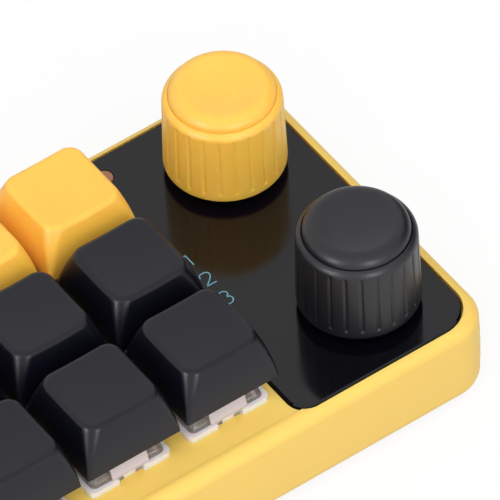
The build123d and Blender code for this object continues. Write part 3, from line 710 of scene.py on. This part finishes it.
@dataclass
class KnobPair:
    """The two knobs and the encoders under them.

    Sizes are in millimetres, heights start at the knob's lower edge, and angles are in degrees.
    """

    wardrobe: Wardrobe
    base_radius: float = 10.14
    foot_edge: float = 0.35
    shoulder_radius: float = 9.85
    shoulder_height: float = 13.5
    crease_radius: float = 8.75
    crease_height: float = 15.0
    crease_depth: float = 0.2
    crown_radius: float = 2.0
    crown_angle: float = 8.0
    dish_angle: float = 14.0
    height: float = 16.9
    inner_radius: float = 8.05
    roof_height: float = 14.1
    hub_radius: float = 4.4
    hub_height: float = 5.0
    bore_radius: float = 3.05
    skirt_heights: tuple[float, ...] = (4.0, 6.0, 8.0, 10.0, 12.0, 12.8, 13.2)
    foot_steps: int = 5
    shoulder_steps: int = 16
    crown_steps: int = 18
    dish_steps: int = 14
    crisp_angle: float = 50.0
    weld: float = 0.001
    ribs: int = 24
    rib_steps: int = 14
    rib_crowd: float = 0.35
    groove_depth: float = 0.21
    groove_width: float = 0.64
    groove_low: float = 1.3
    groove_high: float = 13.9
    groove_end: float = 0.55
    back_turn: float = 5.7
    front_turn: float = -2.0

    @staticmethod
    def arc(middle: Vector, radius: float, start: float, end: float, steps: int) -> list[Vector]:
        """Return points on an arc.

        Args:
            middle: Middle of the arc, as radius and height.
            radius: Radius of the arc.
            start: Angle of the first point, in degrees.
            end: Angle of the last point, in degrees.
            steps: Number of steps between them.

        Returns:
            The points, first and last ones too.
        """
        angles = [math.radians(start + (end - start) * step / steps) for step in range(steps + 1)]
        return [middle + radius * Vector((math.cos(angle), math.sin(angle))) for angle in angles]

    def profile(self) -> list[Vector]:
        """Draw half of the knob's section: from the hollow's roof, over the skirt, to the dish.

        Returns:
            Points as radius and height.
        """
        hollow = [
            (0.0, self.roof_height), (self.bore_radius, self.roof_height),
            (self.bore_radius, self.hub_height), (self.hub_radius, self.hub_height),
            (self.hub_radius, self.roof_height), (self.inner_radius, self.roof_height),
            (self.inner_radius, 0.0),
        ]
        heel = Vector((self.base_radius - self.foot_edge, self.foot_edge))
        foot = self.arc(heel, self.foot_edge, -90, 0, self.foot_steps)
        edge, brow = foot[-1], Vector((self.shoulder_radius, self.shoulder_height))
        # Close heights round off the lower end of each groove.
        ends = [self.groove_low + 0.1 * step for step in range(-2, 9)]
        heights = ends + list(self.skirt_heights)
        skirt = [edge.lerp(brow, (z - edge.y) / (brow.y - edge.y)) for z in heights]
        along = (brow - edge).normalized()
        inward = Vector((-along.y, along.x))
        lip = Vector((self.crease_radius + self.crease_depth, self.crease_height))
        bend = (lip - brow).length_squared / (2 * (lip - brow).dot(inward))
        hinge = brow + bend * inward
        first, last = (math.degrees(math.atan2(*reversed(point - hinge))) for point in (brow, lip))
        shoulder = self.arc(hinge, bend, first, last, self.shoulder_steps)
        crease = Vector((self.crease_radius, self.crease_height - self.crease_depth))
        bulge, rim = self.crown_radius, 90 + self.dish_angle
        crown_middle = Vector((self.crease_radius - bulge, self.height - bulge))
        crown = self.arc(crown_middle, bulge, self.crown_angle, rim, self.crown_steps)
        sweep = crown[-1].x / math.sin(math.radians(self.dish_angle))
        centre = Vector((0.0, crown[-1].y + sweep * math.cos(math.radians(self.dish_angle))))
        dish = self.arc(centre, sweep, self.dish_angle - 90, -90, self.dish_steps)
        inside = [Vector(point) for point in hollow]
        return inside + foot + skirt + shoulder + [crease] + crown + dish[1:]

    def rib_tree(self) -> NodeShape:
        """Describe a knob turned from its profile, with grooves between its ribs.

        Returns:
            The tree, ready to turn knobs.
        """
        shape = NodeShape("ribbed_knob", takes_geometry=True)
        tree, calc = shape.tree, shape.calc
        points = shape.size("Profile Points", "NodeSocketInt")
        around = shape.size("Steps Around", "NodeSocketInt")
        ribs = shape.size("Ribs", "NodeSocketInt")
        depth, width = shape.size("Groove Depth"), shape.size("Groove Width")
        low, high = shape.size("Groove Low"), shape.size("Groove High")
        end, skirt = shape.size("Groove End"), shape.size("Skirt Radius")
        sheet = add_node(
            tree, "GeometryNodeMeshGrid",
            inputs={
                "Size X": 1.0, "Size Y": 1.0, "Vertices X": calc("ADD", around, 1.0),
                "Vertices Y": points,
            },
        )
        spot = add_node(tree, "GeometryNodeInputPosition").outputs[0]
        row = calc("MODULO", add_node(tree, "GeometryNodeInputIndex").outputs[0], points)
        section = add_node(
            tree, "GeometryNodeSampleIndex", {"data_type": "FLOAT_VECTOR"},
            {"Geometry": shape.entry.outputs["Geometry"], "Value": spot, "Index": row},
        )
        outline = add_node(tree, "ShaderNodeSeparateXYZ", inputs={0: section.outputs[0]})
        radius, height = outline.outputs["X"], outline.outputs["Z"]
        # One groove lies in the middle of each step of the pattern. The points crowd towards it.
        way = add_node(tree, "ShaderNodeSeparateXYZ", inputs={0: spot}).outputs["X"]
        phase = calc("MULTIPLY", calc("ADD", way, 0.5), ribs)
        cell = calc("FLOOR", calc("ADD", phase, 1e-4))
        offset = calc("SUBTRACT", calc("SUBTRACT", phase, cell), 0.5)
        thin = calc("MULTIPLY", calc("ABSOLUTE", offset), 2 * (1 - self.rib_crowd))
        crowd = calc("ADD", thin, self.rib_crowd)
        near = calc("MULTIPLY", offset, crowd)
        pitch = calc("DIVIDE", 2 * math.pi, ribs)
        angle = calc("MULTIPLY", calc("ADD", cell, near), pitch)
        aside = calc("MULTIPLY", calc("MULTIPLY", near, pitch), radius)
        across = calc("DIVIDE", aside, calc("DIVIDE", width, 2.0))
        bowl = calc("MAXIMUM", calc("SUBTRACT", 1.0, calc("MULTIPLY", across, across)), 0.0)
        rise = add_node(
            tree, "ShaderNodeMapRange", {"interpolation_type": "SMOOTHSTEP"},
            {"Value": height, "From Min": low, "From Max": calc("ADD", low, end)},
        ).outputs[0]
        fall = add_node(
            tree, "ShaderNodeMapRange", {"interpolation_type": "SMOOTHSTEP"},
            {"Value": height, "From Min": high, "From Max": calc("SUBTRACT", high, end)},
        ).outputs[0]
        outside = calc("GREATER_THAN", radius, skirt)
        share = calc("MULTIPLY", calc("MULTIPLY", bowl, outside), calc("MULTIPLY", rise, fall))
        reach = calc("SUBTRACT", radius, calc("MULTIPLY", depth, share))
        turned = add_node(
            tree, "ShaderNodeCombineXYZ",
            inputs={
                "X": calc("MULTIPLY", reach, calc("COSINE", angle)),
                "Y": calc("MULTIPLY", reach, calc("SINE", angle)), "Z": height,
            },
        )
        knob = add_node(
            tree, "GeometryNodeSetPosition",
            inputs={"Geometry": sheet.outputs["Mesh"], "Position": turned.outputs[0]},
        )
        closed = add_node(
            tree, "GeometryNodeMergeByDistance",
            inputs={"Geometry": knob.outputs[0], "Distance": self.weld * MM},
        )
        smooth = add_node(tree, "GeometryNodeSetShadeSmooth", inputs={0: closed.outputs[0]})
        fold = add_node(tree, "GeometryNodeInputMeshEdgeAngle").outputs["Unsigned Angle"]
        sharp = calc("GREATER_THAN", fold, math.radians(self.crisp_angle))
        crisp = add_node(
            tree, "GeometryNodeSetShadeSmooth", {"domain": "EDGE"},
            {"Geometry": smooth.outputs[0], "Selection": sharp, "Shade Smooth": False},
        )
        shape.close(crisp.outputs[0])
        return shape

    def build(self) -> None:
        """Turn both knobs in the room of their solids."""
        points = self.profile()
        line = bpy.data.meshes.new("knob_profile")
        spots = [(r * MM, 0.0, z * MM) for r, z in points]
        line.from_pydata(spots, [(i, i + 1) for i in range(len(points) - 1)], [])
        skirt = (self.inner_radius + self.crease_radius) / 2
        sizes = {
            "Profile Points": len(points), "Ribs": self.ribs,
            "Steps Around": self.ribs * self.rib_steps,
            "Groove Depth": self.groove_depth * MM, "Groove Width": self.groove_width * MM,
            "Groove Low": self.groove_low * MM, "Groove High": self.groove_high * MM,
            "Groove End": self.groove_end * MM, "Skirt Radius": skirt * MM,
        }
        shape = self.rib_tree()
        for name, slot, finish, turn in (
            ("knob_back", "yellow_knob", KNOB_YELLOW, self.back_turn),
            ("knob_front", "black_knob", KNOB_BLACK, self.front_turn),
        ):
            low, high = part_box(name)
            axis = Matrix.Translation(((low.x + high.x) / 2, (low.y + high.y) / 2, low.z))
            place = axis @ Matrix.Rotation(math.radians(turn), 4, "Z")
            plastic = self.wardrobe.material(finish)
            turned = shape.piece(f"turned_{name}", sizes, plastic, line, place)
            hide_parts(name)
            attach(turned, name)

    def dress(self) -> None:
        """Give the encoders their finishes."""
        self.wardrobe.dress(["shaft_back", "shaft_front"], SHAFT_ALUMINIUM)
        self.wardrobe.dress(["rotor_back", "rotor_front"], ROTOR_ACETAL)
        self.wardrobe.dress(["push_spring_back", "push_spring_front"], SPRING_WIRE)
        self.wardrobe.dress(["encoder_bases"], POLYMER_BLACK)
        self.wardrobe.dress(["encoder_bushings"], BUSHING_ZINC)


@dataclass
class Fascia:
    """Polished panel with its button and printed layer numerals. Sizes are in millimetres."""

    wardrobe: Wardrobe
    middle: tuple[float, float] = (27.05, -0.1)
    pitch: float = 5.05
    stroke: float = 0.22
    ink: float = 0.012
    strokes: tuple[tuple[tuple[float, float], ...], ...] = (
        (
            (-0.45, 0.95), (-0.30, 1.05), (0.05, 1.30), (0.05, 1.30), (0.05, 0.4), (0.05, -0.4),
            (0.05, -1.30),
        ),
        (
            (-0.90, 0.62), (-0.86, 1.34), (0.10, 1.48), (0.92, 1.22), (0.92, 0.36), (0.20, -0.36),
            (-0.95, -1.28), (-0.95, -1.28), (-0.95, -1.28), (0.0, -1.28), (0.95, -1.28),
        ),
        (
            (-0.82, 0.92), (-0.55, 1.36), (0.30, 1.46), (0.90, 1.02), (0.78, 0.34), (0.20, 0.10),
            (-0.20, 0.08), (0.20, 0.10), (0.86, -0.06), (1.02, -0.84), (0.45, -1.42),
            (-0.45, -1.42), (-0.90, -0.92),
        ),
    )

    def ink_tree(self) -> NodeShape:
        """Describe printed strokes: a flat ribbon of ink along each line.

        Returns:
            The tree, ready to print numerals.
        """
        shape = NodeShape("ink_strokes", takes_geometry=True)
        pen = add_node(
            shape.tree, "GeometryNodeCurvePrimitiveQuadrilateral",
            inputs={"Width": shape.size("Stroke"), "Height": shape.size("Ink")},
        )
        ribbon = add_node(
            shape.tree, "GeometryNodeCurveToMesh",
            inputs={
                "Curve": shape.entry.outputs["Geometry"], "Profile Curve": pen.outputs[0],
                "Fill Caps": True,
            },
        )
        shape.close(ribbon.outputs[0])
        return shape

    def build(self) -> None:
        """Print the numerals on the panel, reading along the case's length."""
        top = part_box("fascia_panel")[1].z
        lines = bpy.data.curves.new("numeral_lines", "CURVE")
        lines.dimensions = "3D"
        lines.resolution_u = 8
        for index, points in enumerate(self.strokes):
            spline = lines.splines.new("NURBS")
            spline.points.add(len(points) - 1)
            for point, (x, y) in zip(spline.points, points):
                across = self.middle[0] + x
                along = self.middle[1] + (1 - index) * self.pitch + y
                point.co = (across * MM, along * MM, 0.0, 1.0)
            spline.order_u = 3
            spline.use_endpoint_u = True
        sizes = {"Stroke": self.stroke * MM, "Ink": self.ink * MM}
        place = Matrix.Translation((0, 0, top + self.ink * MM / 2))
        ink = self.wardrobe.material(NUMERAL_INK)
        numerals = self.ink_tree().piece("layer_numerals", sizes, ink, lines, place)
        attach(numerals, "chassis")

    def dress(self) -> None:
        """Give the panel, the button and the lamps their finishes."""
        self.wardrobe.dress(["fascia_panel"], PANEL_BLACK)
        self.wardrobe.dress(["layer_button"], BUTTON_SALMON)
        self.wardrobe.dress(["layer_lamps"], LAMP_EPOXY)


@dataclass
class Electronics:
    """Circuit board, its components and the socket. Sizes are in millimetres."""

    wardrobe: Wardrobe
    contacts: int = 12
    pitch: float = 0.5
    width: float = 0.26
    length: float = 3.4
    plating: float = 0.02
    tongue_height: float = 0.7
    setback: float = 0.4

    def row_tree(self) -> NodeShape:
        """Describe a double row of flat contacts, one on each face of the tongue.

        Returns:
            The tree, ready to make the contacts.
        """
        shape = NodeShape("contact_rows")
        pitch, span = shape.size("Pitch"), shape.size("Span")
        step = add_node(shape.tree, "ShaderNodeCombineXYZ", inputs={"X": pitch})
        level = add_node(shape.tree, "ShaderNodeCombineXYZ", inputs={"Z": span})
        row = add_node(
            shape.tree, "GeometryNodeMeshLine",
            inputs={"Count": shape.size("Count", "NodeSocketInt"), "Offset": step.outputs[0]},
        )
        other = add_node(
            shape.tree, "GeometryNodeTransform",
            inputs={"Geometry": row.outputs[0], "Translation": level.outputs[0]},
        )
        both = add_node(shape.tree, "GeometryNodeJoinGeometry", inputs={0: row.outputs[0]})
        shape.tree.links.new(other.outputs[0], both.inputs[0])
        blank = add_node(shape.tree, "ShaderNodeCombineXYZ", inputs={
            "X": shape.size("Width"), "Y": shape.size("Length"), "Z": shape.size("Plating"),
        })
        strip = add_node(shape.tree, "GeometryNodeMeshCube", inputs={"Size": blank.outputs[0]})
        spread = add_node(
            shape.tree, "GeometryNodeInstanceOnPoints",
            inputs={"Points": both.outputs[0], "Instance": strip.outputs[0]},
        )
        shape.close(spread.outputs[0])
        return shape

    def build(self) -> None:
        """Lay the contacts on the socket's tongue."""
        low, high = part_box("usb_tongue")
        span = (self.tongue_height + self.plating) * MM
        sizes = {
            "Pitch": self.pitch * MM, "Span": span, "Count": self.contacts,
            "Width": self.width * MM, "Length": self.length * MM, "Plating": self.plating * MM,
        }
        place = Matrix.Translation((
            (low.x + high.x) / 2 - (self.contacts - 1) * self.pitch * MM / 2,
            high.y - (self.setback + self.length / 2) * MM,
            (low.z + high.z) / 2 - span / 2,
        ))
        gold = self.wardrobe.material(CONTACT_GOLD)
        rows = self.row_tree().piece("socket_contacts", sizes, gold, place=place)
        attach(rows, "chassis")

    def dress(self) -> None:
        """Give the board and the socket their finishes."""
        self.wardrobe.dress(["circuit_board"], BOARD_MASK)
        self.wardrobe.dress(["board_components"], EPOXY_BLACK)
        self.wardrobe.dress(["usb_shell"], SOCKET_STEEL)
        self.wardrobe.dress(["usb_tongue"], POLYMER_BLACK)


@dataclass(frozen=True)
class SoftLight:
    """One soft light. Its place is in metres from the point that it faces, its power in watts."""

    name: str
    place: tuple[float, float, float]
    width: float
    height: float
    power: float
    gleam: bool

    def hang(self, aim: Vector) -> None:
        """Hang the light, which shows either only as a gleam or only on matt colour.

        Args:
            aim: Point that it faces, in metres.
        """
        lamp = bpy.data.lights.new(self.name, "AREA")
        lamp.shape = "RECTANGLE"
        lamp.size = self.width
        lamp.size_y = self.height
        lamp.energy = self.power
        holder = bpy.data.objects.new(self.name, lamp)
        holder.location = aim + Vector(self.place)
        holder.rotation_mode = "QUATERNION"
        holder.rotation_quaternion = (-Vector(self.place)).to_track_quat("-Z", "Y")
        holder.visible_glossy = self.gleam
        holder.visible_diffuse = not self.gleam
        holder.visible_transmission = not self.gleam
        bpy.context.scene.collection.objects.link(holder)


# A large box lights the colours, and two low strips gleam along rounded corners and edges.
LIGHTS = (
    SoftLight("softbox_front", (-0.33, -0.60, 0.87), 1.2, 1.2, 12.5, False),
    SoftLight("strip_left", (-0.95, -0.18, 0.28), 0.08, 0.5, 4.0, True),
    SoftLight("strip_right", (-0.14, -0.96, 0.28), 0.08, 0.5, 3.4, True),
)


@dataclass
class Studio:
    """White floor, dark flag, soft light and the camera.

    The camera is placed by the middle of the front right key, in millimetres, and by its pixel. Its
    distance is in millimetres, the scale in pixels per millimetre there, and angles are in degrees.
    From aim on, lengths are in metres.
    """

    key: tuple[float, float, float] = (12.75, -19.02, 16.8)
    azimuth: float = 33.318
    elevation: float = 48.209
    roll: float = -2.8996
    distance: float = 1500.0
    scale: float = 6.2992
    key_pixel: tuple[float, float] = (202.738, 392.889)
    picture: float = 500.0
    sensor: float = 36.0
    aim: tuple[float, float, float] = (0.03, 0.0, 0.02)
    floor_reach: float = 6.0
    floor_share: float = 0.8
    floor_glow: float = 1.08
    flag_side: float = 0.5
    flag_near: float = -0.25
    flag_far: float = 0.35
    flag_top: float = 0.34
    tent_light: float = 0.63
    tent_seen: float = 1.0
    clip_near: float = 0.05
    clip_far: float = 50.0

    @staticmethod
    def sheet(
        name: str, corners: list[tuple[float, float, float]], material: bpy.types.Material,
    ) -> bpy.types.Object:
        """Make one flat sheet of the stage.

        Args:
            name: Name of the sheet.
            corners: Its four corners in metres.
            material: What it is made of.

        Returns:
            The new object.
        """
        mesh = bpy.data.meshes.new(name)
        mesh.from_pydata(corners, [], [(0, 1, 2, 3)])
        mesh.materials.append(material)
        made = bpy.data.objects.new(name, mesh)
        bpy.context.scene.collection.objects.link(made)
        return made

    def floor(self) -> None:
        """Lay a pale floor that reads white and keeps the shadow."""
        paper, tree = empty_material("paper_floor_white")
        matt = add_node(tree, "ShaderNodeBsdfDiffuse", inputs={"Color": linear("C9C9C9")})
        glow = add_node(tree, "ShaderNodeEmission", inputs={"Strength": self.floor_glow})
        pale = add_node(
            tree, "ShaderNodeMixShader",
            inputs={0: self.floor_share, 1: matt.outputs[0], 2: glow.outputs[0]},
        )
        mixed = add_node(
            tree, "ShaderNodeMixShader",
            inputs={0: seen_directly(tree), 1: matt.outputs[0], 2: pale.outputs[0]},
        )
        add_node(tree, "ShaderNodeOutputMaterial", inputs={"Surface": mixed.outputs[0]})
        reach = self.floor_reach
        corners = [(-reach, -reach, 0), (reach, -reach, 0), (reach, reach, 0), (-reach, reach, 0)]
        floor = self.sheet("floor", corners, paper)

    def flag(self) -> None:
        """Stand a dark flag on the right, which only shows as a shade in gleaming surfaces."""
        cloth, tree = empty_material("velvet_flag_black")
        matt = add_node(tree, "ShaderNodeBsdfDiffuse", inputs={"Color": linear("101012")})
        add_node(tree, "ShaderNodeOutputMaterial", inputs={"Surface": matt.outputs[0]})
        side, near, far, top = self.flag_side, self.flag_near, self.flag_far, self.flag_top
        corners = [(side, near, 0), (side, far, 0), (side, far, top), (side, near, top)]
        flag = self.sheet("flag", corners, cloth)
        flag.visible_camera = False
        flag.visible_diffuse = False
        flag.visible_shadow = False
        flag.visible_transmission = False

    def light(self) -> None:
        """Light the object with a white tent and the soft lights."""
        world = bpy.data.worlds.new("white_tent")
        bpy.context.scene.world = world
        world.use_nodes = True
        tree = world.node_tree
        tree.nodes.clear()
        white = linear("FFFFFF")
        tent = add_node(
            tree, "ShaderNodeBackground", inputs={"Color": white, "Strength": self.tent_light},
        )
        plain = add_node(
            tree, "ShaderNodeBackground", inputs={"Color": white, "Strength": self.tent_seen},
        )
        mixed = add_node(
            tree, "ShaderNodeMixShader",
            inputs={0: seen_directly(tree), 1: tent.outputs[0], 2: plain.outputs[0]},
        )
        add_node(tree, "ShaderNodeOutputWorld", inputs={"Surface": mixed.outputs[0]})
        for lamp in LIGHTS:
            lamp.hang(Vector(self.aim))

    def camera(self) -> None:
        """Set up the camera at the picture's viewing angle."""
        turn, rise, roll = (math.radians(v) for v in (self.azimuth, self.elevation, self.roll))
        away = math.cos(rise)
        back = Vector((-math.sin(turn) * away, -math.cos(turn) * away, math.sin(rise)))
        level = Vector((math.cos(turn), -math.sin(turn), 0.0))
        upright = back.cross(level)
        right = level * math.cos(roll) + upright * math.sin(roll)
        up = upright * math.cos(roll) - level * math.sin(roll)
        half = self.picture / 2
        across = (self.key_pixel[0] - half) / self.scale
        above = (half - self.key_pixel[1]) / self.scale
        place = Vector(self.key) + back * self.distance - right * across - up * above
        view = bpy.data.cameras.new("camera")
        view.sensor_width = self.sensor
        view.lens = self.scale * self.distance * self.sensor / self.picture
        view.clip_start = self.clip_near
        view.clip_end = self.clip_far
        holder = bpy.data.objects.new("camera", view)
        frame_of_view = Matrix((right, up, back)).transposed().to_4x4()
        holder.matrix_world = Matrix.Translation(place * MM) @ frame_of_view
        bpy.context.scene.collection.objects.link(holder)
        bpy.context.scene.camera = holder

    def build(self) -> None:
        """Set floor, flag, light, camera and the plain view transform."""
        self.floor()
        self.flag()
        self.light()
        self.camera()
        bpy.context.scene.view_settings.view_transform = "Standard"


def main() -> None:
    """Build and dress the keyboard, one sub-assembly after another."""
    logging.basicConfig(level=logging.INFO, format="%(name)s: %(message)s")
    Studio().build()
    wardrobe = Wardrobe()
    keys, knobs = KeyBlock(wardrobe), KnobPair(wardrobe)
    fascia, electronics = Fascia(wardrobe), Electronics(wardrobe)
    for builder in (keys, knobs, fascia, electronics):
        builder.build()
    for part in (CaseShell(wardrobe), keys, knobs, fascia, electronics):
        part.dress()


if __name__ == "__main__":
    main()
